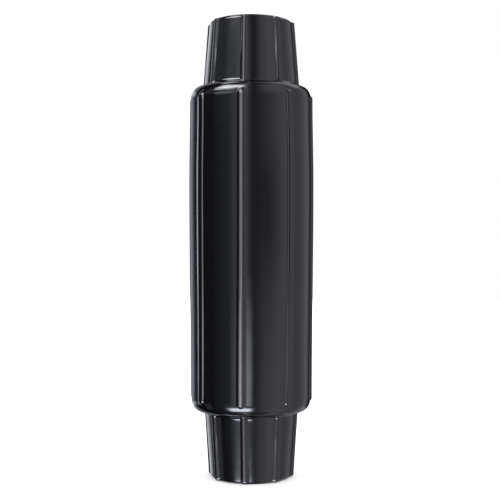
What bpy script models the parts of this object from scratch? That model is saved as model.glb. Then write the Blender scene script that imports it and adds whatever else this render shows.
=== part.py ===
"""Inflatable dock fender of the hole-through kind: a ribbed vinyl body moulded in one piece, and its valve.

The fender stands upright on its lower end face. The origin is the centre of that face, +Z runs along the
axis, and one rib faces +X. The body is one solid: its skin and the rope tube through it are moulded as one.
"""

import math

import bmesh
import bpy
from mathutils import Matrix

# Driving dimensions, in metres
OVERALL_LENGTH = 0.508
TOP_NECK_LENGTH = 0.074
BOTTOM_NECK_LENGTH = 0.074

BODY_WIDEST_RADIUS = 0.0684
BODY_TOP_RADIUS = 0.0674
BODY_BOTTOM_RADIUS = 0.0667
BODY_WIDEST_HEIGHT = 0.327
SHOULDER_HEIGHT = 0.013
SHOULDER_FULLNESS = 2.2

TOP_NECK_BASE_RADIUS = 0.0522
TOP_NECK_END_RADIUS = 0.0465
BOTTOM_NECK_BASE_RADIUS = 0.0505
BOTTOM_NECK_END_RADIUS = 0.0456
NECK_FILLET = 0.003
RIM_FILLET = 0.004

BORE_RADIUS = 0.011
BORE_MOUTH_FILLET = 0.008

RIB_COUNT = 8
BODY_RIB_WIDTH = 0.010
BODY_RIB_HEIGHT = 0.0018
BODY_RIB_FLANK_WIDTH = 0.0025
BODY_RIB_TOP_OVERRUN = 0.004
BODY_RIB_BOTTOM_OVERRUN = 0.0025
NECK_RIB_WIDTH = 0.0088
NECK_RIB_FACE_WIDTH = 0.0038
NECK_RIB_HEIGHT = 0.0022
NECK_RIB_END_CHAMFER = 0.0007
NECK_RIB_SETBACK = 0.0015
RIB_ROOT_DEPTH = 0.003

VALVE_FLANGE_RADIUS = 0.007
VALVE_FLANGE_THICKNESS = 0.002
VALVE_STEM_RADIUS = 0.0045
VALVE_STEM_LENGTH = 0.010
VALVE_NEEDLE_RADIUS = 0.001
VALVE_NEEDLE_DEPTH = 0.008
VALVE_DIMPLE_RADIUS = 0.0025
VALVE_RECESS = 0.0005
VALVE_EDGE_FILLET = 0.0006
CLEARANCE = 0.0003

# How finely the round shapes are cut up
TURN_STEPS = 64
SMALL_TURN_STEPS = 32
BODY_ROWS = 10
RIB_END_STEPS = 8
RIB_ROWS = 8
MERGE_DISTANCE = 0.00005

# Heights that follow from the driving dimensions
TOP_SHOULDER = OVERALL_LENGTH - TOP_NECK_LENGTH
BOTTOM_SHOULDER = BOTTOM_NECK_LENGTH
BODY_TOP = TOP_SHOULDER - SHOULDER_HEIGHT
BODY_BOTTOM = BOTTOM_SHOULDER + SHOULDER_HEIGHT
VALVE_OFFSET = (BORE_RADIUS + BORE_MOUTH_FILLET + TOP_NECK_END_RADIUS - RIM_FILLET) / 2


def clear_scene():
    """Removes every object that the new file starts with."""
    for thing in list(bpy.data.objects):
        bpy.data.objects.remove(thing)


def new_collection(name):
    """Makes a collection and hangs it in the scene."""
    collection = bpy.data.collections.new(name)
    bpy.context.scene.collection.children.link(collection)
    return collection


def vinyl(name, colour, roughness):
    """Makes a plain glossy plastic material."""
    material = bpy.data.materials.new(name)
    material.use_nodes = True
    shader = material.node_tree.nodes["Principled BSDF"]
    shader.inputs["Base Color"].default_value = (*colour, 1)
    shader.inputs["Roughness"].default_value = roughness
    shader.inputs["Metallic"].default_value = 0
    return material


def eased(share):
    """Goes from 0 to 1 with a level start and end."""
    share = min(max(share, 0), 1)
    return share * share * (3 - 2 * share)


def body_radius(height):
    """Radius of the inflated wall between the ribs, which swells a little above the middle."""
    if height > BODY_WIDEST_HEIGHT:
        share = (height - BODY_WIDEST_HEIGHT) / (BODY_TOP - BODY_WIDEST_HEIGHT)
        return BODY_WIDEST_RADIUS + (BODY_TOP_RADIUS - BODY_WIDEST_RADIUS) * eased(share)
    share = (BODY_WIDEST_HEIGHT - height) / (BODY_WIDEST_HEIGHT - BODY_BOTTOM)
    return BODY_WIDEST_RADIUS + (BODY_BOTTOM_RADIUS - BODY_WIDEST_RADIUS) * eased(share)


def top_neck_radius(height):
    """Radius of the upper neck's straight tapered wall."""
    share = (height - TOP_SHOULDER) / TOP_NECK_LENGTH
    return TOP_NECK_BASE_RADIUS + (TOP_NECK_END_RADIUS - TOP_NECK_BASE_RADIUS) * share


def bottom_neck_radius(height):
    """Radius of the lower neck's straight tapered wall."""
    share = (BOTTOM_SHOULDER - height) / BOTTOM_NECK_LENGTH
    return BOTTOM_NECK_BASE_RADIUS + (BOTTOM_NECK_END_RADIUS - BOTTOM_NECK_BASE_RADIUS) * share


def arc(centre, reach, start, end, steps, fullness=2.0):
    """Points of an elliptical arc from one angle to another, in degrees; above 2 the fullness squares it."""
    points = []
    for step in range(steps + 1):
        angle = math.radians(start + (end - start) * step / steps)
        across = math.copysign(abs(math.cos(angle)) ** (2 / fullness), math.cos(angle))
        along = math.copysign(abs(math.sin(angle)) ** (2 / fullness), math.sin(angle))
        points.append((centre[0] + reach[0] * across, centre[1] + reach[1] * along))
    return points


def end_profile(end, inward, end_radius, base_radius, shoulder, body_end_radius):
    """Outline of one end from its bore mouth out over the neck to where the body begins.

    The end face is at the height `end`, and `inward` is -1 for the upper end and 1 for the lower one.
    """
    mouth = (BORE_RADIUS + BORE_MOUTH_FILLET, end + inward * BORE_MOUTH_FILLET)
    rim = (end_radius - RIM_FILLET, end + inward * RIM_FILLET)
    fillet = (base_radius + NECK_FILLET, shoulder - inward * NECK_FILLET)
    rounding = (base_radius + NECK_FILLET, shoulder + inward * SHOULDER_HEIGHT)
    shoulder_reach = (body_end_radius - rounding[0], -inward * SHOULDER_HEIGHT)
    points = arc(mouth, (BORE_MOUTH_FILLET, -inward * BORE_MOUTH_FILLET), 180, 90, 4)
    points += arc(rim, (RIM_FILLET, -inward * RIM_FILLET), 90, 0, 3)
    points += arc(fillet, (NECK_FILLET, -inward * NECK_FILLET), 180, 270, 3)
    points += arc(rounding, shoulder_reach, 90, 0, 7, SHOULDER_FULLNESS)[1:]
    return points


def body_profile():
    """Closed outline of the moulding, from the upper bore mouth down the outside and back up the bore."""
    top = end_profile(OVERALL_LENGTH, -1, TOP_NECK_END_RADIUS, TOP_NECK_BASE_RADIUS, TOP_SHOULDER,
                      BODY_TOP_RADIUS)
    bottom = end_profile(0, 1, BOTTOM_NECK_END_RADIUS, BOTTOM_NECK_BASE_RADIUS, BOTTOM_SHOULDER,
                         BODY_BOTTOM_RADIUS)
    rows = []
    for row in range(1, BODY_ROWS):
        height = BODY_TOP + (BODY_BOTTOM - BODY_TOP) * row / BODY_ROWS
        rows.append((body_radius(height), height))
    return top + rows + bottom[::-1]


def turned(name, profile, closed, steps, collection):
    """Turns an outline of (radius, height) points about Z with a Screw modifier."""
    mesh = bpy.data.meshes.new(name)
    count = len(profile)
    edges = [(index, index + 1) for index in range(count - 1)]
    if closed:
        edges.append((count - 1, 0))
    mesh.from_pydata([(radius, 0, height) for radius, height in profile], edges, [])
    thing = bpy.data.objects.new(name, mesh)
    collection.objects.link(thing)
    screw = thing.modifiers.new("turn", "SCREW")
    screw.axis = "Z"
    screw.angle = math.tau
    screw.steps = steps
    screw.render_steps = steps
    screw.use_merge_vertices = True
    screw.merge_threshold = MERGE_DISTANCE
    screw.use_smooth_shade = True
    return thing


def extruded(name, outline, depth, edge_chamfer):
    """Mesh of a filled flat outline, `depth` thick along Z, its two faces' edges chamfered inside the outline."""
    curve = bpy.data.curves.new(name, "CURVE")
    curve.dimensions = "2D"
    curve.fill_mode = "BOTH"
    curve.extrude = depth / 2 - edge_chamfer
    curve.bevel_depth = edge_chamfer
    curve.bevel_resolution = 0
    curve.offset = -edge_chamfer
    spline = curve.splines.new("POLY")
    spline.points.add(len(outline) - 1)
    for point, (across, along) in zip(spline.points, outline):
        point.co = (across, along, 0, 1)
    spline.use_cyclic_u = True
    carrier = bpy.data.objects.new(name, curve)
    bpy.context.scene.collection.objects.link(carrier)
    graph = bpy.context.evaluated_depsgraph_get()
    mesh = bpy.data.meshes.new_from_object(carrier.evaluated_get(graph))
    bpy.data.objects.remove(carrier)
    shape = bmesh.new()
    shape.from_mesh(mesh)
    bmesh.ops.remove_doubles(shape, verts=shape.verts, dist=MERGE_DISTANCE)
    bmesh.ops.recalc_face_normals(shape, faces=shape.faces)
    shape.to_mesh(mesh)
    shape.free()
    return mesh


def follow_wall(mesh, wall_radius):
    """Moves a rib that was made on the axis out to the wall, point by point, so that it follows its shape."""
    for vertex in mesh.vertices:
        vertex.co.x += wall_radius(vertex.co.z)


def body_rib_mesh():
    """A long low bar with round ends and sloping flanks, its back sunk in the body's wall."""
    half_width = BODY_RIB_WIDTH / 2
    top = BODY_TOP + BODY_RIB_TOP_OVERRUN - half_width
    bottom = BODY_BOTTOM - BODY_RIB_BOTTOM_OVERRUN + half_width
    side = [(half_width, bottom + (top - bottom) * row / RIB_ROWS) for row in range(1, RIB_ROWS)]
    other_side = [(-across, along) for across, along in reversed(side)]
    outline = arc((0, bottom), (half_width, half_width), 180, 360, RIB_END_STEPS) + side
    outline += arc((0, top), (half_width, half_width), 0, 180, RIB_END_STEPS) + other_side
    flatten = BODY_RIB_HEIGHT / BODY_RIB_FLANK_WIDTH
    depth = 2 * (BODY_RIB_HEIGHT + RIB_ROOT_DEPTH) / flatten
    mesh = extruded("body_rib", outline, depth, BODY_RIB_FLANK_WIDTH)
    stand_up = Matrix(((0, 0, 1), (1, 0, 0), (0, 1, 0))).to_4x4()
    mesh.transform(Matrix.Diagonal((flatten, 1, 1, 1)) @ stand_up)
    mesh.transform(Matrix.Translation((BODY_RIB_HEIGHT - depth * flatten / 2, 0, 0)))
    follow_wall(mesh, body_radius)
    return mesh


def neck_rib_mesh(end, shoulder, wall_radius):
    """A bar of trapezoid section along one neck, from inside the shoulder to just short of the end face."""
    inward = math.copysign(1, shoulder - end)
    outline = [
        (-RIB_ROOT_DEPTH, -NECK_RIB_WIDTH / 2),
        (0, -NECK_RIB_WIDTH / 2),
        (NECK_RIB_HEIGHT, -NECK_RIB_FACE_WIDTH / 2),
        (NECK_RIB_HEIGHT, NECK_RIB_FACE_WIDTH / 2),
        (0, NECK_RIB_WIDTH / 2),
        (-RIB_ROOT_DEPTH, NECK_RIB_WIDTH / 2),
    ]
    outer_end = end + inward * NECK_RIB_SETBACK
    inner_end = shoulder + inward * SHOULDER_HEIGHT / 2
    mesh = extruded("neck_rib", outline, abs(outer_end - inner_end), NECK_RIB_END_CHAMFER)
    mesh.transform(Matrix.Translation((0, 0, (outer_end + inner_end) / 2)))
    follow_wall(mesh, wall_radius)
    return mesh


def make_ribs(collection):
    """Sets the ribs of the body and of both necks round the axis, in line with each other."""
    kinds = {
        "body_rib": body_rib_mesh(),
        "top_neck_rib": neck_rib_mesh(OVERALL_LENGTH, TOP_SHOULDER, top_neck_radius),
        "bottom_neck_rib": neck_rib_mesh(0, BOTTOM_SHOULDER, bottom_neck_radius),
    }
    for kind, mesh in kinds.items():
        for number in range(RIB_COUNT):
            rib = bpy.data.objects.new("%s_%d" % (kind, number), mesh)
            rib.rotation_euler = (0, 0, math.tau * number / RIB_COUNT)
            rib.hide_render = True
            rib.display_type = "WIRE"
            collection.objects.link(rib)


def valve_profile(grow, lid):
    """Outline of the valve's outside, from its top centre edge down; `grow` is added to each face.

    `lid` is how far the outline rises above the flange's top face.
    """
    flange_top = OVERALL_LENGTH - VALVE_RECESS
    flange_bottom = flange_top - VALVE_FLANGE_THICKNESS
    stem_bottom = flange_bottom - VALVE_STEM_LENGTH
    flange = VALVE_FLANGE_RADIUS + grow
    stem = VALVE_STEM_RADIUS + grow
    return [
        (flange, flange_top + lid),
        (flange, flange_bottom - grow),
        (stem, flange_bottom - grow),
        (stem, stem_bottom - grow),
        (0, stem_bottom - grow),
    ]


def make_valve_pocket(collection):
    """Cutter for the stepped pocket in the upper end face, a clearance larger than the valve."""
    lid = VALVE_RECESS + CLEARANCE
    profile = [(0, OVERALL_LENGTH + CLEARANCE)] + valve_profile(CLEARANCE, lid)
    pocket = turned("valve_pocket", profile, False, SMALL_TURN_STEPS, collection)
    pocket.location = (0, VALVE_OFFSET, 0)
    pocket.hide_render = True
    pocket.display_type = "WIRE"
    return pocket


def make_valve(collection, material):
    """Push-in needle valve: a flanged plug with a dimple that leads the pump's needle into its hole."""
    flange_top = OVERALL_LENGTH - VALVE_RECESS
    needle_bottom = flange_top - VALVE_NEEDLE_DEPTH
    dimple_depth = VALVE_DIMPLE_RADIUS - VALVE_NEEDLE_RADIUS
    inside = [
        (0, needle_bottom),
        (VALVE_NEEDLE_RADIUS, needle_bottom),
        (VALVE_NEEDLE_RADIUS, flange_top - dimple_depth),
        (VALVE_DIMPLE_RADIUS, flange_top),
    ]
    edge = (VALVE_FLANGE_RADIUS - VALVE_EDGE_FILLET, flange_top - VALVE_EDGE_FILLET)
    rounding = arc(edge, (VALVE_EDGE_FILLET, VALVE_EDGE_FILLET), 90, 0, 3)
    profile = inside + rounding + valve_profile(0, 0)[1:]
    valve = turned("inflation_valve", profile, False, SMALL_TURN_STEPS, collection)
    valve.location = (0, VALVE_OFFSET, 0)
    valve.data.materials.append(material)
    return valve


def make_body(collection, cutters, ribs, material):
    """The one-piece moulding: the turned wall with its bore, the ribs added and the valve's pocket cut."""
    body = turned("fender_body", body_profile(), True, TURN_STEPS, collection)
    body.data.materials.append(material)
    join = body.modifiers.new("ribs", "BOOLEAN")
    join.operation = "UNION"
    join.operand_type = "COLLECTION"
    join.collection = ribs
    join.solver = "EXACT"
    cut = body.modifiers.new("valve_pocket", "BOOLEAN")
    cut.operation = "DIFFERENCE"
    cut.object = make_valve_pocket(cutters)
    cut.solver = "EXACT"
    return body


def main():
    """Builds the fender."""
    clear_scene()
    parts = new_collection("dock_fender")
    ribs = new_collection("ribs")
    cutters = new_collection("cutters")
    make_ribs(ribs)
    make_body(parts, cutters, ribs, vinyl("black_vinyl", (0.012, 0.012, 0.014), 0.2))
    make_valve(parts, vinyl("black_rubber", (0.02, 0.02, 0.02), 0.5))


main()
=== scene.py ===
"""Looks of the inflatable dock fender: its ribbed vinyl moulding, its valve, and a studio to show it in.

Every size is in metres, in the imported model's frame: the origin is the centre of the lower end face, +Z
runs along the axis and one rib faces +X.
"""

import math

import bpy
import numpy as np
from bpy.props import FloatProperty, FloatVectorProperty, IntProperty, PointerProperty
from bpy.types import Operator, Panel, PropertyGroup
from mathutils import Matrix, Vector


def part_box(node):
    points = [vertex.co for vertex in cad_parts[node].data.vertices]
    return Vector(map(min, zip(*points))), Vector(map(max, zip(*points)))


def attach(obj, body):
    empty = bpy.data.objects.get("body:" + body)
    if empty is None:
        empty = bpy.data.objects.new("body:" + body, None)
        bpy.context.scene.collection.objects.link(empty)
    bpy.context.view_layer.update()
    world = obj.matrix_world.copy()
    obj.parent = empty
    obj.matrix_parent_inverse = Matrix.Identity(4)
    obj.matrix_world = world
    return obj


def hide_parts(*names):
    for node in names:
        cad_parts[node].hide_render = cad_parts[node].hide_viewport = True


bl_info = {
    "name": "Dock Fender",
    "version": (1, 0, 0),
    "blender": (4, 5, 0),
    "location": "View3D > Sidebar > Fender",
    "description": "Builds a ribbed inflatable dock fender, its valve and a studio around them",
    "category": "Add Mesh",
}

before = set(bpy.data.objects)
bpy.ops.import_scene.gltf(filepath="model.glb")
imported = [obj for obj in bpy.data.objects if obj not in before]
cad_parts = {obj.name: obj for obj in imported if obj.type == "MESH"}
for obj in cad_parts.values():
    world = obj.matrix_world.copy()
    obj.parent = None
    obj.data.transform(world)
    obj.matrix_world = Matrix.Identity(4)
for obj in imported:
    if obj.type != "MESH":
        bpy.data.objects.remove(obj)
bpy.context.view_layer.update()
BODY_LOW, BODY_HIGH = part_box("fender_body")
VALVE_LOW, VALVE_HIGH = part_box("inflation_valve")
VALVE_CENTRE = (VALVE_LOW + VALVE_HIGH) / 2
FLANGE_RADIUS = (VALVE_HIGH.x - VALVE_LOW.x) / 2
LENGTH = BODY_HIGH.z - BODY_LOW.z


def length_property(name, description, default):
    """A length in metres that the sidebar shows with its unit."""
    return FloatProperty(
        name=name, description=description, default=default, min=0, unit="LENGTH", precision=4
    )


def share_property(name, description, default, top=1.0):
    """A plain number from nothing up to `top`."""
    return FloatProperty(
        name=name, description=description, default=default, min=0, max=top, precision=4
    )


def colour_property(name, description, default):
    """A colour, in linear light."""
    return FloatVectorProperty(
        name=name, description=description, default=default, size=3, min=0, max=1, subtype="COLOR"
    )


class FenderBodyShape(PropertyGroup):
    """Sizes of the moulding."""

    top_neck_length: length_property("Top neck", "From the upper end face to its shoulder", 0.074)
    bottom_neck_length: length_property("Bottom neck", "From the lower end face to its shoulder", 0.074)
    widest_radius: length_property("Widest radius", "Wall between the ribs at the widest place", 0.0684)
    top_radius: length_property("Top radius", "Wall between the ribs at the upper shoulder", 0.0674)
    bottom_radius: length_property("Bottom radius", "Wall between the ribs at the lower shoulder", 0.0667)
    widest_height: length_property("Widest height", "Where the body swells most", 0.327)
    shoulder_height: length_property("Shoulder height", "Length over which a shoulder rounds off", 0.016)
    shoulder_fullness: FloatProperty(
        name="Shoulder fullness", description="2 is a plain ellipse, more is squarer", default=2.5, min=1
    )
    top_base_radius: length_property("Top neck base", "Wall of the upper neck at its shoulder", 0.0522)
    top_end_radius: length_property("Top neck end", "Wall of the upper neck at its end face", 0.0465)
    bottom_base_radius: length_property("Bottom neck base", "Wall of the lower neck at its shoulder", 0.0505)
    bottom_end_radius: length_property("Bottom neck end", "Wall of the lower neck at its end face", 0.0456)
    neck_fillet: length_property("Neck fillet", "Hollow rounding between a neck and its shoulder", 0.0042)
    rim_fillet: length_property("Rim fillet", "Rounding round an end face", 0.004)
    bore_radius: length_property("Rope hole", "Radius of the hole through the middle", 0.011)
    mouth_fillet: length_property("Hole mouth", "Rounding of the rope hole's mouth", 0.008)


class FenderRibs(PropertyGroup):
    """Sizes of the ribs."""

    count: IntProperty(name="Ribs", description="Ribs round the body and each neck", default=8)
    body_width: length_property("Body rib width", "Width of a body rib at its foot", 0.010)
    body_height: length_property("Body rib height", "How far a body rib stands out", 0.0018)
    body_face: length_property("Body rib face", "Width of a body rib's level face", 0.0042)
    body_rounding: length_property("Body rib edge", "Width of the rounding from face to flank", 0.00124)
    body_root: length_property("Body rib root", "Width of the hollow between flank and wall", 0.0006)
    top_overrun: length_property("Upper overrun", "How far a rib runs on to the upper shoulder", 0.007)
    bottom_overrun: length_property("Lower overrun", "How far a rib runs on to the lower shoulder", 0.0055)
    neck_width: length_property("Neck rib width", "Width of a neck rib at its foot", 0.0088)
    neck_height: length_property("Neck rib height", "How far a neck rib stands out", 0.0022)
    neck_face: length_property("Neck rib face", "Width of a neck rib's level face", 0.0016)
    neck_rounding: length_property("Neck rib edge", "Width of the rounding from face to flank", 0.0019)
    neck_root: length_property("Neck rib root", "Width of the hollow between flank and wall", 0.0006)
    neck_setback: length_property("Neck rib setback", "How far it ends short of the end face", 0.0012)
    neck_end_fillet: length_property("Neck rib end", "Rounding of a neck rib's outer end", 0.0014)
    twist: FloatProperty(
        name="Twist", description="How far the body's ribs turn on their way down to the lower shoulder",
        default=math.radians(0.9), unit="ROTATION",
    )
    bow: FloatProperty(
        name="Bow", description="How far the most bowed rib bends aside at half its height",
        default=math.radians(2.4), unit="ROTATION",
    )


class FenderVinyl(PropertyGroup):
    """Finish of the vinyl."""

    colour: colour_property("Colour", "Black of the vinyl", (0.0006, 0.0006, 0.0008))
    roughness: share_property("Roughness", "How much the gloss is blurred", 0.09)
    roughness_spread: share_property("Roughness spread", "How far the gloss varies over the skin", 0.05)
    ripple: length_property("Ripple", "Depth of the slow waves in the inflated skin", 0.00012)
    ripple_size: length_property("Ripple size", "Width of the slow waves", 0.03)
    grain: length_property("Grain", "Depth of the fine moulding texture", 0.000006)
    grain_size: length_property("Grain size", "Width of the fine moulding texture", 0.0025)
    patch_size: length_property("Patch size", "Width of the glossier and duller patches", 0.0075)


class FenderValve(PropertyGroup):
    """Sizes and finish of the inflation valve."""

    flange_thickness: length_property("Flange", "Thickness of the valve's flange", 0.002)
    stem_radius: length_property("Stem", "Radius of the plug below its flange", 0.0045)
    needle_radius: length_property("Needle hole", "Radius of the hole for the pump's needle", 0.001)
    needle_depth: length_property("Needle depth", "Depth of the hole for the pump's needle", 0.008)
    dimple_radius: length_property("Dimple", "Radius of the dimple that leads the needle in", 0.0025)
    edge_fillet: length_property("Edge", "Rounding of the flange's edge", 0.0006)
    colour: colour_property("Colour", "Black of the rubber", (0.012, 0.012, 0.012))
    roughness: share_property("Roughness", "How dull the rubber is", 0.45)
    roughness_spread: share_property("Roughness spread", "How far the dullness varies", 0.12)
    patch_size: length_property("Patch size", "Width of the shinier and duller patches", 0.002)
    grain: length_property("Grain", "Depth of the rubber's fine grain", 0.00002)
    grain_size: length_property("Grain size", "Width of the rubber's fine grain", 0.0006)


class FenderStudio(PropertyGroup):
    """Camera, floor and light."""

    camera_distance: length_property("Camera distance", "From the fender's axis", 1.1235)
    camera_height: length_property("Camera height", "Above the floor", 0.253)
    camera_azimuth: FloatProperty(
        name="Camera azimuth", description="Round the fender, from -Y towards +X",
        default=math.radians(8.6), unit="ROTATION",
    )
    camera_lens: FloatProperty(name="Lens", description="Focal length in millimetres", default=72, min=1)
    camera_aside: share_property("Aside", "Pixels from the middle to the fender", 0.95, 10)
    floor_width: length_property("Floor", "Width of the floor", 8)
    floor_colour: colour_property("Floor colour", "Pale floor", (0.9, 0.9, 0.9))
    evenness: FloatProperty(name="Even light", description="Strength of the even light", default=1.8, min=0)


def eased(share):
    """Goes from 0 to 1 with a level start and end; takes an array."""
    share = np.clip(share, 0, 1)
    return share * share * (3 - 2 * share)


def rounded(centre, reach, angles, fullness=2.0):
    """Points of an elliptical arc at the given angles, in radians; above 2 the fullness squares it."""
    across = np.sign(np.cos(angles)) * np.abs(np.cos(angles)) ** (2 / fullness)
    along = np.sign(np.sin(angles)) * np.abs(np.sin(angles)) ** (2 / fullness)
    return np.stack([centre[0] + reach[0] * across, centre[1] + reach[1] * along], 1)


def spread(start, end, steps):
    """Evenly spaced angles, given in degrees, as radians."""
    return np.radians(np.linspace(start, end, steps + 1))


# How finely the moulding's surface is cut along its outline and round a rib; the rows stand closest within
# RIB_END_REACH of where a shoulder meets the body
MOUTH_STEPS = 8
FACE_STEPS = 4
RIM_STEPS = 9
NECK_STEPS = 14
FILLET_STEPS = 6
SHOULDER_STEPS = 9
RIB_END_STEPS = 12
RIB_END_REACH = 0.009
BODY_STEPS = 34
BORE_STEPS = 5
RIB_FACE_DEGREES, RIB_FACE_STEPS = 1.0, 2
RIB_FLANK_DEGREES, RIB_FLANK_STEPS = 5.4, 18
WALL_STEPS = 9
RIB_PROFILE_POINTS = 400

# How the inflated body's ribs stray: the share of its length over which they start to, the share of its
# height up to which they are twisted, how squarely the bow fills its length, and the angle from +X of the
# largest bow
STRAY_START = 0.03
TWIST_END = 0.6
BOW_FULLNESS = 8
MOST_BOWED_ANGLE = -math.pi / 4

# How finely the valve is cut, and the gap round it in its pocket
VALVE_TURN_STEPS = 64
VALVE_ROUNDING_STEPS = 6
MERGE_DISTANCE = 0.00002
POCKET_CLEARANCE = 0.0003

# Edges bent more than this stay sharp
SHARP_ANGLE = math.radians(35)


def body_ends(shape):
    """Heights at which the lower and the upper shoulder meet the body."""
    body_bottom = shape.bottom_neck_length + shape.shoulder_height
    body_top = LENGTH - shape.top_neck_length - shape.shoulder_height
    return body_bottom, body_top


def body_radius(shape, height):
    """Radius of the inflated wall between the ribs, at an array of heights."""
    body_bottom, body_top = body_ends(shape)
    above = eased((height - shape.widest_height) / (body_top - shape.widest_height))
    below = eased((shape.widest_height - height) / (shape.widest_height - body_bottom))
    swell = shape.widest_radius + (shape.top_radius - shape.widest_radius) * above
    return swell + (shape.bottom_radius - shape.widest_radius) * below


def end_rows(shape, end, inward, shoulder, base_radius, end_radius, body_end_radius):
    """Outline rows of one end, from the bore's mouth to the body, with a name for the kind of each row."""
    face_start = shape.bore_radius + shape.mouth_fillet
    face_end = end_radius - shape.rim_fillet
    mouth = rounded(
        (face_start, end + inward * shape.mouth_fillet),
        (shape.mouth_fillet, -inward * shape.mouth_fillet),
        spread(180, 90, MOUTH_STEPS),
    )
    face = np.stack([np.linspace(face_start, face_end, FACE_STEPS + 1), np.full(FACE_STEPS + 1, end)], 1)
    rim = rounded(
        (face_end, end + inward * shape.rim_fillet),
        (shape.rim_fillet, -inward * shape.rim_fillet),
        spread(90, 0, RIM_STEPS),
    )
    fillet = rounded(
        (base_radius + shape.neck_fillet, shoulder - inward * shape.neck_fillet),
        (shape.neck_fillet, -inward * shape.neck_fillet),
        spread(180, 270, FILLET_STEPS),
    )
    share = np.linspace(0, 1, NECK_STEPS + 1)[1:-1, None]
    neck = rim[-1] * (1 - share) + fillet[0] * share
    fullness = shape.shoulder_fullness
    near = np.linspace(0, RIB_END_REACH, RIB_END_STEPS + 1)
    low_angles = np.arcsin((near / shape.shoulder_height) ** (fullness / 2))
    high_angles = np.linspace(low_angles[-1], math.pi / 2, SHOULDER_STEPS + 1)[1:]
    rounding = rounded(
        (base_radius + shape.neck_fillet, shoulder + inward * shape.shoulder_height),
        (body_end_radius - base_radius - shape.neck_fillet, -inward * shape.shoulder_height),
        np.concatenate([low_angles, high_angles])[::-1],
        fullness,
    )
    heights = shoulder + inward * shape.shoulder_height + inward * near[1:]
    start_of_body = np.stack([body_radius(shape, heights), heights], 1)
    groups = [
        ("end", mouth), ("end", face[1:-1]), ("neck", rim), ("neck", neck), ("neck", fillet),
        ("body", rounding[1:]), ("body", start_of_body),
    ]
    rows = np.concatenate([points for kind, points in groups])
    kinds = [kind for kind, points in groups for point in points]
    return rows, kinds


def outline_rows(shape):
    """The moulding's closed outline, from the upper bore mouth down the outside and back up the bore."""
    top, top_kinds = end_rows(
        shape, LENGTH, -1, LENGTH - shape.top_neck_length, shape.top_base_radius, shape.top_end_radius,
        shape.top_radius,
    )
    bottom, bottom_kinds = end_rows(
        shape, 0, 1, shape.bottom_neck_length, shape.bottom_base_radius, shape.bottom_end_radius,
        shape.bottom_radius,
    )
    heights = np.linspace(top[-1, 1], bottom[-1, 1], BODY_STEPS + 1)[1:-1]
    middle = np.stack([body_radius(shape, heights), heights], 1)
    bore_heights = np.linspace(shape.mouth_fillet, LENGTH - shape.mouth_fillet, BORE_STEPS + 1)[1:-1]
    bore = np.stack([np.full(len(bore_heights), shape.bore_radius), bore_heights], 1)
    rows = np.concatenate([top, middle, bottom[::-1], bore])
    kinds = top_kinds + ["body"] * len(middle) + bottom_kinds[::-1] + ["end"] * len(bore)
    return rows, kinds


def column_angles(count):
    """Angles round the axis, closest on the ribs' flanks, and each one's angle from its rib's middle."""
    half_sector = 180 / count
    half = np.concatenate([
        np.linspace(0, RIB_FACE_DEGREES, RIB_FACE_STEPS, endpoint=False),
        np.linspace(RIB_FACE_DEGREES, RIB_FLANK_DEGREES, RIB_FLANK_STEPS, endpoint=False),
        np.linspace(RIB_FLANK_DEGREES, half_sector, WALL_STEPS, endpoint=False),
        [half_sector],
    ])
    offsets = np.concatenate([-half[:0:-1], half[:-1]])
    angles = np.concatenate([offsets + 360 * number / count for number in range(count)])
    return np.radians(angles), np.radians(np.tile(np.abs(offsets), count))


def rib_rise(inside, width, face, rounding, root):
    """Share of a rib's height at a distance inside its foot: root, flank, rounded edge and level face."""
    half_width = width / 2
    distance = np.linspace(0, half_width, RIB_PROFILE_POINTS)
    slope = eased(distance / root) * eased((half_width - face / 2 - distance) / rounding)
    climbed = np.concatenate([[0], np.cumsum((slope[1:] + slope[:-1]) / 2)])
    return np.interp(inside, distance, climbed / climbed[-1])


def inside_body_rib(shape, ribs, aside, height):
    """How far a point of the wall lies inside the outline of the nearest body rib, whose ends are round."""
    half_width = ribs.body_width / 2
    body_bottom, body_top = body_ends(shape)
    top = body_top + ribs.top_overrun - half_width
    bottom = body_bottom - ribs.bottom_overrun + half_width
    past_end = np.maximum(np.maximum(height - top, bottom - height), 0)
    return half_width - np.hypot(aside, past_end)


def neck_rib_radius(shape, ribs, height):
    """Radius of a neck rib's top at an array of heights, rounded off at the end face."""
    top_share = (LENGTH - height) / shape.top_neck_length
    bottom_share = height / shape.bottom_neck_length
    upper = shape.top_end_radius + (shape.top_base_radius - shape.top_end_radius) * top_share
    lower = shape.bottom_end_radius + (shape.bottom_base_radius - shape.bottom_end_radius) * bottom_share
    wall = np.where(height > LENGTH / 2, upper, lower)
    fillet = ribs.neck_end_fillet
    from_end = np.minimum(height, LENGTH - height) - ribs.neck_setback
    into_fillet = np.clip(fillet - from_end, 0, fillet)
    top = wall + ribs.neck_height - fillet + np.sqrt(fillet ** 2 - into_fillet ** 2)
    return np.where(from_end < 0, 0, top)


def rib_stray(shape, ribs, angles, height):
    """Turn of each point about the axis, by which the inflated body's ribs stray from their even places."""
    body_length = LENGTH - shape.top_neck_length - shape.bottom_neck_length
    from_bottom = (height - shape.bottom_neck_length) / body_length
    on_body = eased(from_bottom / STRAY_START) * eased((1 - from_bottom) / STRAY_START)
    twisted = 1 - eased(from_bottom / TWIST_END)
    bowed = 1 - (2 * from_bottom - 1) ** BOW_FULLNESS
    every_other = np.sin(angles * ribs.count / 4) ** 2
    # 1 at the most bowed rib, and a third of that the other way on the far side
    to_one_side = (1 + 2 * np.cos(angles - MOST_BOWED_ANGLE)) / 3
    return on_body * (ribs.bow * bowed * every_other * to_one_side - ribs.twist * twisted)


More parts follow.
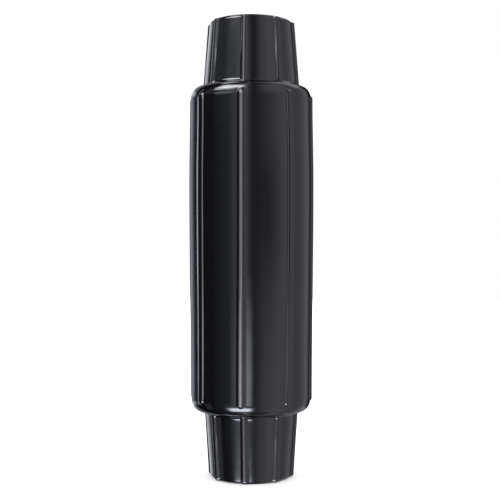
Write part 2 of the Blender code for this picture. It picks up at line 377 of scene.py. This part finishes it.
def moulding_points(shape, ribs):
    """Grid of points over the whole moulding, one row for each point of the outline."""
    rows, kinds = outline_rows(shape)
    angles, from_rib = column_angles(ribs.count)
    ahead = np.roll(rows, -1, 0) - np.roll(rows, 1, 0)
    normals = np.stack([-ahead[:, 1], ahead[:, 0]], 1)
    normals /= np.linalg.norm(normals, axis=1, keepdims=True)
    is_body = np.array([kind == "body" for kind in kinds])[:, None]
    is_neck = np.array([kind == "neck" for kind in kinds])[:, None]
    radius, height = rows[:, :1], rows[:, 1:]
    aside = radius * from_rib[None, :]

    inside = inside_body_rib(shape, ribs, aside, height)
    share = rib_rise(inside, ribs.body_width, ribs.body_face, ribs.body_rounding, ribs.body_root)
    rise = ribs.body_height * share * is_body
    out = radius + rise * normals[:, :1]
    up = height + rise * normals[:, 1:]

    inside = ribs.neck_width / 2 - aside
    share = rib_rise(inside, ribs.neck_width, ribs.neck_face, ribs.neck_rounding, ribs.neck_root)
    lift = np.maximum(neck_rib_radius(shape, ribs, height) - radius, 0)
    out = out + share * lift * is_neck
    angles = angles + rib_stray(shape, ribs, angles, height)
    return np.stack([out * np.cos(angles), out * np.sin(angles), up + np.zeros_like(out)], 2)


def closed_grid_mesh(name, points):
    """Mesh of a grid of points that closes on itself both ways."""
    row_count, column_count = points.shape[:2]
    row = np.arange(row_count)[:, None]
    column = np.arange(column_count)[None, :]
    next_row = (row + 1) % row_count
    next_column = (column + 1) % column_count
    corners = [
        row * column_count + column,
        next_row * column_count + column,
        next_row * column_count + next_column,
        row * column_count + next_column,
    ]
    faces = np.stack([np.broadcast_to(corner, (row_count, column_count)) for corner in corners], 2)
    mesh = bpy.data.meshes.new(name)
    mesh.from_pydata(points.reshape(-1, 3).tolist(), [], faces.reshape(-1, 4).tolist())
    mesh.polygons.foreach_set("use_smooth", [True] * len(mesh.polygons))
    mesh.update()
    return mesh


def add_object(name, data):
    """Puts a new object in the scene."""
    thing = bpy.data.objects.new(name, data)
    bpy.context.scene.collection.objects.link(thing)
    return thing


def applied_mesh(carrier):
    """The object's mesh with its modifiers applied; the object itself is removed."""
    graph = bpy.context.evaluated_depsgraph_get()
    mesh = bpy.data.meshes.new_from_object(carrier.evaluated_get(graph))
    bpy.data.objects.remove(carrier)
    return mesh


def turned_mesh(name, profile, steps):
    """Mesh of an outline of (radius, height) points turned about Z with a Screw modifier."""
    mesh = bpy.data.meshes.new(name)
    edges = [(index, index + 1) for index in range(len(profile) - 1)]
    mesh.from_pydata([(radius, 0, height) for radius, height in profile], edges, [])
    carrier = add_object(name, mesh)
    screw = carrier.modifiers.new("turn", "SCREW")
    screw.axis = "Z"
    screw.steps = screw.render_steps = steps
    screw.use_merge_vertices = True
    screw.merge_threshold = MERGE_DISTANCE
    screw.use_smooth_shade = True
    return applied_mesh(carrier)


def valve_outside(valve, grow):
    """Outline of the valve's outside below its top face, each face moved out by `grow`."""
    flange_bottom = VALVE_HIGH.z - valve.flange_thickness
    flange = FLANGE_RADIUS + grow
    stem = valve.stem_radius + grow
    return [
        (flange, flange_bottom - grow),
        (stem, flange_bottom - grow),
        (stem, VALVE_LOW.z - grow),
        (0, VALVE_LOW.z - grow),
    ]


def cut_pocket(mesh, valve):
    """The moulding's mesh with the valve's stepped pocket cut into the upper end face."""
    above = BODY_HIGH.z + POCKET_CLEARANCE
    outside = valve_outside(valve, POCKET_CLEARANCE)
    profile = [(0, above), (outside[0][0], above)] + outside
    cutter = add_object("pocket_cutter", turned_mesh("pocket_cutter", profile, VALVE_TURN_STEPS))
    cutter.location = (VALVE_CENTRE.x, VALVE_CENTRE.y, 0)
    carrier = add_object("moulding", mesh)
    cut = carrier.modifiers.new("pocket", "BOOLEAN")
    cut.operation = "DIFFERENCE"
    cut.object = cutter
    cut.solver = "MANIFOLD"
    result = applied_mesh(carrier)
    bpy.data.objects.remove(cutter)
    if not result.polygons:
        raise RuntimeError("the valve's pocket could not be cut into the moulding")
    return result


class ShaderTree:
    """Short ways to add and join the nodes of one shader tree."""

    def __init__(self, tree):
        self.tree = tree
        tree.nodes.clear()

    def add(self, kind, inputs=None, **settings):
        """Adds a node; `inputs` holds a value or an output for each input's name or number."""
        node = self.tree.nodes.new(kind)
        for name, value in settings.items():
            setattr(node, name, value)
        for key, value in (inputs or {}).items():
            self.feed(node.inputs[key], value)
        return node

    def feed(self, socket, value):
        """Links an output to an input, or sets the input to a plain value."""
        if isinstance(value, bpy.types.NodeSocket):
            self.tree.links.new(value, socket)
        else:
            socket.default_value = value

    def math(self, operation, *values):
        """Result of one math node."""
        return self.add("ShaderNodeMath", dict(enumerate(values)), operation=operation).outputs[0]

    def ramp(self, value, start, end):
        """0 before start, 1 after end and an eased rise between; start may be above end."""
        inputs = {"Value": value, "From Min": start, "From Max": end}
        node = self.add("ShaderNodeMapRange", inputs, interpolation_type="SMOOTHSTEP", clamp=True)
        return node.outputs[0]

    def window(self, value, start, full, fade, end):
        """0 outside start to end, 1 from full to fade."""
        return self.math("MULTIPLY", self.ramp(value, start, full), self.ramp(value, end, fade))

    def noise(self, vector, size, detail):
        """Smooth noise from 0 to 1 with features about `size` metres wide."""
        inputs = {"Vector": vector, "Scale": 1 / size, "Detail": detail}
        return self.add("ShaderNodeTexNoise", inputs).outputs["Fac"]

    def bump(self, height, depth, normal=None):
        """Bump of a height from 0 to 1 that is `depth` metres deep, on top of another bump's normal."""
        inputs = {"Height": height, "Distance": depth, "Strength": 1.0}
        if normal is not None:
            inputs["Normal"] = normal
        return self.add("ShaderNodeBump", inputs).outputs["Normal"]

    def spread_round(self, value, middle, reach):
        """Turns noise from 0 to 1 into a value that varies by reach round a middle."""
        return self.math("MULTIPLY_ADD", self.math("SUBTRACT", value, 0.5), 2 * reach, middle)


def new_material(name):
    """A material with an empty node tree and the helper that fills it."""
    material = bpy.data.materials.new(name)
    material.use_nodes = True
    return material, ShaderTree(material.node_tree)


def finish_surface(shader, colour, roughness, normal):
    """Ends a material with a coloured surface of the given roughness and bumps."""
    inputs = {"Base Color": (*colour, 1), "Roughness": roughness, "Normal": normal}
    surface = shader.add("ShaderNodeBsdfPrincipled", inputs)
    shader.add("ShaderNodeOutputMaterial", {"Surface": surface.outputs["BSDF"]})


def vinyl_material(vinyl):
    """Black glossy vinyl: slow waves of the inflated skin, a fine moulding texture and uneven gloss."""
    material, shader = new_material("glossy_black_vinyl")
    place = shader.add("ShaderNodeTexCoord").outputs["Object"]
    waves = shader.bump(shader.noise(place, vinyl.ripple_size, detail=1.0), vinyl.ripple)
    fine = shader.bump(shader.noise(place, vinyl.grain_size, detail=3.0), vinyl.grain, waves)
    patches = shader.noise(place, vinyl.patch_size, detail=4.0)
    gloss = shader.spread_round(patches, vinyl.roughness, vinyl.roughness_spread)
    finish_surface(shader, vinyl.colour, gloss, fine)
    return material


def rubber_material(valve):
    """Dull black rubber with a fine grain."""
    material, shader = new_material("black_valve_rubber")
    place = shader.add("ShaderNodeTexCoord").outputs["Object"]
    grain = shader.bump(shader.noise(place, valve.grain_size, detail=3.0), valve.grain)
    patches = shader.noise(place, valve.patch_size, detail=3.0)
    dullness = shader.spread_round(patches, valve.roughness, valve.roughness_spread)
    finish_surface(shader, valve.colour, dullness, grain)
    return material


class FENDER_OT_body(Operator):
    """Build the ribbed vinyl moulding"""

    bl_idname = "fender.body"
    bl_label = "Moulded Body"

    def execute(self, context):
        shape, ribs = context.scene.fender_shape, context.scene.fender_ribs
        mesh = closed_grid_mesh("vinyl_moulding", moulding_points(shape, ribs))
        mesh = cut_pocket(mesh, context.scene.fender_valve)
        mesh.set_sharp_from_angle(angle=SHARP_ANGLE)
        mesh.materials.clear()
        mesh.materials.append(vinyl_material(context.scene.fender_vinyl))
        body = add_object("vinyl_moulding", mesh)
        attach(body, "root")
        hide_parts("fender_body")
        return {"FINISHED"}


class FENDER_OT_valve(Operator):
    """Build the push-in inflation valve"""

    bl_idname = "fender.valve"
    bl_label = "Inflation Valve"

    def execute(self, context):
        valve = context.scene.fender_valve
        top = VALVE_HIGH.z
        dimple_depth = valve.dimple_radius - valve.needle_radius
        dimple = rounded(
            (valve.needle_radius + dimple_depth, top - dimple_depth), (dimple_depth, dimple_depth),
            spread(180, 90, VALVE_ROUNDING_STEPS),
        )
        edge = rounded(
            (FLANGE_RADIUS - valve.edge_fillet, top - valve.edge_fillet),
            (valve.edge_fillet, valve.edge_fillet),
            spread(90, 0, VALVE_ROUNDING_STEPS),
        )
        hole = [(0, top - valve.needle_depth), (valve.needle_radius, top - valve.needle_depth)]
        profile = hole + dimple.tolist() + edge.tolist() + valve_outside(valve, 0)
        mesh = turned_mesh("valve_plug", profile, VALVE_TURN_STEPS)
        mesh.set_sharp_from_angle(angle=SHARP_ANGLE)
        mesh.materials.append(rubber_material(valve))
        plug = add_object("valve_plug", mesh)
        plug.location = (VALVE_CENTRE.x, VALVE_CENTRE.y, 0)
        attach(plug, "root")
        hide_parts("inflation_valve")
        return {"FINISHED"}


# Colours of the studio's light
WHITE = (1, 1, 1, 1)
VIOLET, NEUTRAL, COOL = (0.98, 0.97, 1.09), (1.0, 1.0, 1.03), (0.93, 0.99, 1.12)

# Heights of the panels that the whole fender or one neck mirrors, in degrees up from level
EVERY_HEIGHT = (-100, -95, 95, 100)
UPPER_NECK = (10, 16, 28, 36)
LOWER_NECK = (-36, -26, -15, -10)

# The soft panels that the gloss mirrors: brightness, tint, and where each one starts, is full, starts to
# fade and ends, in degrees round from the camera's side and in degrees up from level
PANELS = (
    # Broad light along the whole fender
    (0.04, COOL, (-140, -130, 126, 152), EVERY_HEIGHT),
    (0.05, COOL, (-101, -93, 126, 152), EVERY_HEIGHT),
    (0.22, COOL, (-84, -40, -10, 6), EVERY_HEIGHT),
    (0.55, NEUTRAL, (-46, -26, -12, 5), EVERY_HEIGHT),
    (0.75, NEUTRAL, (-16, -12.5, -10.5, -5), EVERY_HEIGHT),
    (0.17, VIOLET, (-10, 6, 126, 152), EVERY_HEIGHT),
    (0.39, VIOLET, (46, 70, 126, 152), EVERY_HEIGHT),
    (0.5, VIOLET, (30, 62, 70, 100), EVERY_HEIGHT),
    # Haze right of the middle, low and high
    (0.7, VIOLET, (2, 30, 44, 68), (-58, -42, -9, 3)),
    (0.8, VIOLET, (6, 34, 45, 67), (-1, 21, 50, 59)),
    # Bright line left of the middle: along the body, at its lower end, at its upper end and below it
    (3.8, NEUTRAL, (-21.1, -19, -17.3, -15.5), (-8, -2, 20, 30)),
    (7.5, NEUTRAL, (-22.6, -20.2, -18.4, -16.8), (-14, -11, -8, -2)),
    (9.0, NEUTRAL, (-22.5, -20, -18, -15.8), (10, 12, 14.5, 17.5)),
    (3.0, NEUTRAL, (-20, -18.2, -17.5, -15.8), (-90, -80, -14, -11)),
    # Glow at the lower end of the body, in the middle and left of it
    (3.3, COOL, (-9, -6.6, -5.4, 7), (-15.5, -11.5, -8.5, -2.5)),
    (0.5, COOL, (-42, -30, -27, -22), (-14, -11, -8.5, -2.5)),
    # Left side and front of the upper neck, and the body just under the upper shoulder
    (0.27, COOL, (-104, -96, -80, -60), UPPER_NECK),
    (0.5, COOL, (-74, -58, -20, 4), UPPER_NECK),
    (1.8, COOL, (-78, -66, -44, -28), (9.5, 12.5, 14.5, 18.5)),
    # Left side, middle and front left of the lower neck
    (0.3, COOL, (-104, -98, -88, -80), LOWER_NECK),
    (0.35, COOL, (-12, -6, 2, 14), LOWER_NECK),
    (0.55, COOL, (-60, -34, -24, -8), LOWER_NECK),
    # Left edge of the upper neck, then of the lower one
    (1.0, NEUTRAL, (-172, -156, -142, -126), (10, 13, 16, 20)),
    (0.7, NEUTRAL, (-172, -160, -135, -125), (-18, -14, -12, -10)),
    # Line down the left side of the body, then of the upper neck, and the whole fender's left edge
    (3.8, COOL, (-124, -121.5, -120, -116.5), (-18, -14, 9, 12)),
    (2.2, COOL, (-118, -114, -112, -109), (11, 14, 24, 30)),
    (0.55, COOL, (-172, -164, -148, -128), EVERY_HEIGHT),
    # Patches on the front of the upper shoulder, then of the lower one
    (9.0, NEUTRAL, (-84, -72, -48, -28), (21.5, 28, 34, 42)),
    (16.0, NEUTRAL, (-84, -58, -24, -10), (30, 38, 45, 60)),
    (16.0, COOL, (-54, -35, -8, 8), (-49, -37, -27, -19.8)),
    # Sides of the shoulders: upper left, upper right, lower right, lower left
    (4.0, COOL, (-150, -138, -105, -80), (56, 64, 72, 80)),
    (1.0, VIOLET, (90, 120, 160, 175), (30, 38, 66, 74)),
    (0.5, VIOLET, (120, 145, 170, 180), (-60, -48, -24, -16)),
    (2.2, COOL, (-160, -145, -120, -100), (-85, -76, -66, -60)),
)


def sky_degrees(sky, azimuth):
    """Where the light comes from: degrees round from the camera's side, and degrees up from level."""
    towards = sky.add("ShaderNodeTexCoord").outputs["Generated"]
    x, y, z = sky.add("ShaderNodeSeparateXYZ", {0: towards}).outputs
    turn = sky.math("ARCTAN2", x, sky.math("MULTIPLY", y, -1.0))
    turn = sky.math("WRAP", sky.math("SUBTRACT", turn, azimuth), math.pi, -math.pi)
    around = sky.math("MULTIPLY", turn, math.degrees(1))
    above = sky.math("MULTIPLY", sky.math("ARCSINE", z), math.degrees(1))
    return around, above


def soft_panel(sky, around, above, brightness, tint, across, upright):
    """Light of one soft panel."""
    strength = sky.math("MULTIPLY", sky.window(around, *across), sky.window(above, *upright))
    strength = sky.math("MULTIPLY", strength, brightness)
    return sky.add("ShaderNodeVectorMath", {0: tint, "Scale": strength}, operation="SCALE").outputs[0]


def studio_world(azimuth, evenness):
    """White to the camera, soft panels to the gloss, and even light for all that is dull."""
    world = bpy.data.worlds.new("studio")
    world.use_nodes = True
    bpy.context.scene.world = world
    sky = ShaderTree(world.node_tree)
    around, above = sky_degrees(sky, azimuth)
    total, *others = [soft_panel(sky, around, above, *panel) for panel in PANELS]
    for light in others:
        total = sky.add("ShaderNodeVectorMath", {0: total, 1: light}, operation="ADD").outputs[0]
    seen = sky.add("ShaderNodeBackground", {"Color": WHITE})
    mirrored = sky.add("ShaderNodeBackground", {"Color": total})
    even = sky.add("ShaderNodeBackground", {"Color": WHITE, "Strength": evenness})
    ray = sky.add("ShaderNodeLightPath").outputs
    lit = sky.add(
        "ShaderNodeMixShader", {0: ray["Is Glossy Ray"], 1: even.outputs[0], 2: mirrored.outputs[0]}
    )
    mix = sky.add("ShaderNodeMixShader", {0: ray["Is Camera Ray"], 1: lit.outputs[0], 2: seen.outputs[0]})
    sky.add("ShaderNodeOutputWorld", {"Surface": mix.outputs[0]})


def make_floor(studio):
    """A plain pale floor, which the gloss doesn't mirror."""
    bpy.ops.mesh.primitive_plane_add(size=studio.floor_width)
    floor = bpy.context.object
    floor.name = "floor"
    floor.visible_glossy = False
    material, shader = new_material("pale_floor")
    surface = shader.add("ShaderNodeBsdfDiffuse", {"Color": (*studio.floor_colour, 1)})
    shader.add("ShaderNodeOutputMaterial", {"Surface": surface.outputs[0]})
    floor.data.materials.append(material)


# The camera's sensor in millimetres, and the picture's width in pixels
SENSOR_WIDTH = 36
PICTURE_WIDTH = 500


def make_camera(studio):
    """The photograph's view: level, at half the fender's height."""
    lens = bpy.data.cameras.new("camera")
    lens.sensor_width = SENSOR_WIDTH
    lens.lens = studio.camera_lens
    lens.shift_x = -studio.camera_aside / PICTURE_WIDTH
    camera = add_object("camera", lens)
    azimuth = studio.camera_azimuth
    camera.location = (
        studio.camera_distance * math.sin(azimuth),
        -studio.camera_distance * math.cos(azimuth),
        studio.camera_height,
    )
    camera.rotation_euler = (math.pi / 2, 0, azimuth)
    bpy.context.scene.camera = camera


class FENDER_OT_stage(Operator):
    """Build the floor, the studio light and the camera"""

    bl_idname = "fender.stage"
    bl_label = "Studio"

    def execute(self, context):
        studio = context.scene.fender_studio
        make_camera(studio)
        make_floor(studio)
        studio_world(studio.camera_azimuth, studio.evenness)
        context.scene.view_settings.view_transform = "Standard"
        return {"FINISHED"}


class FENDER_PT_panel(Panel):
    """Sidebar panel with the fender's pieces"""

    bl_idname = "FENDER_PT_panel"
    bl_label = "Dock Fender"
    bl_space_type = "VIEW_3D"
    bl_region_type = "UI"
    bl_category = "Fender"

    def draw(self, context):
        for operator in OPERATORS:
            self.layout.operator(operator.bl_idname)
        for name, group in GROUPS.items():
            box = self.layout.box()
            for key in group.__annotations__:
                box.prop(getattr(context.scene, name), key)


GROUPS = {
    "fender_shape": FenderBodyShape,
    "fender_ribs": FenderRibs,
    "fender_vinyl": FenderVinyl,
    "fender_valve": FenderValve,
    "fender_studio": FenderStudio,
}
OPERATORS = (FENDER_OT_body, FENDER_OT_valve, FENDER_OT_stage)


def register():
    """Adds the add-on's classes and its values on the scene."""
    for kind in (*GROUPS.values(), *OPERATORS, FENDER_PT_panel):
        bpy.utils.register_class(kind)
    for name, group in GROUPS.items():
        setattr(bpy.types.Scene, name, PointerProperty(type=group))


def unregister():
    """Takes away what register added."""
    for name in GROUPS:
        delattr(bpy.types.Scene, name)
    for kind in reversed((*GROUPS.values(), *OPERATORS, FENDER_PT_panel)):
        bpy.utils.unregister_class(kind)


def main():
    """Builds every piece and the stage."""
    register()
    bpy.ops.fender.body()
    bpy.ops.fender.valve()
    bpy.ops.fender.stage()


if __name__ == "__main__":
    main()
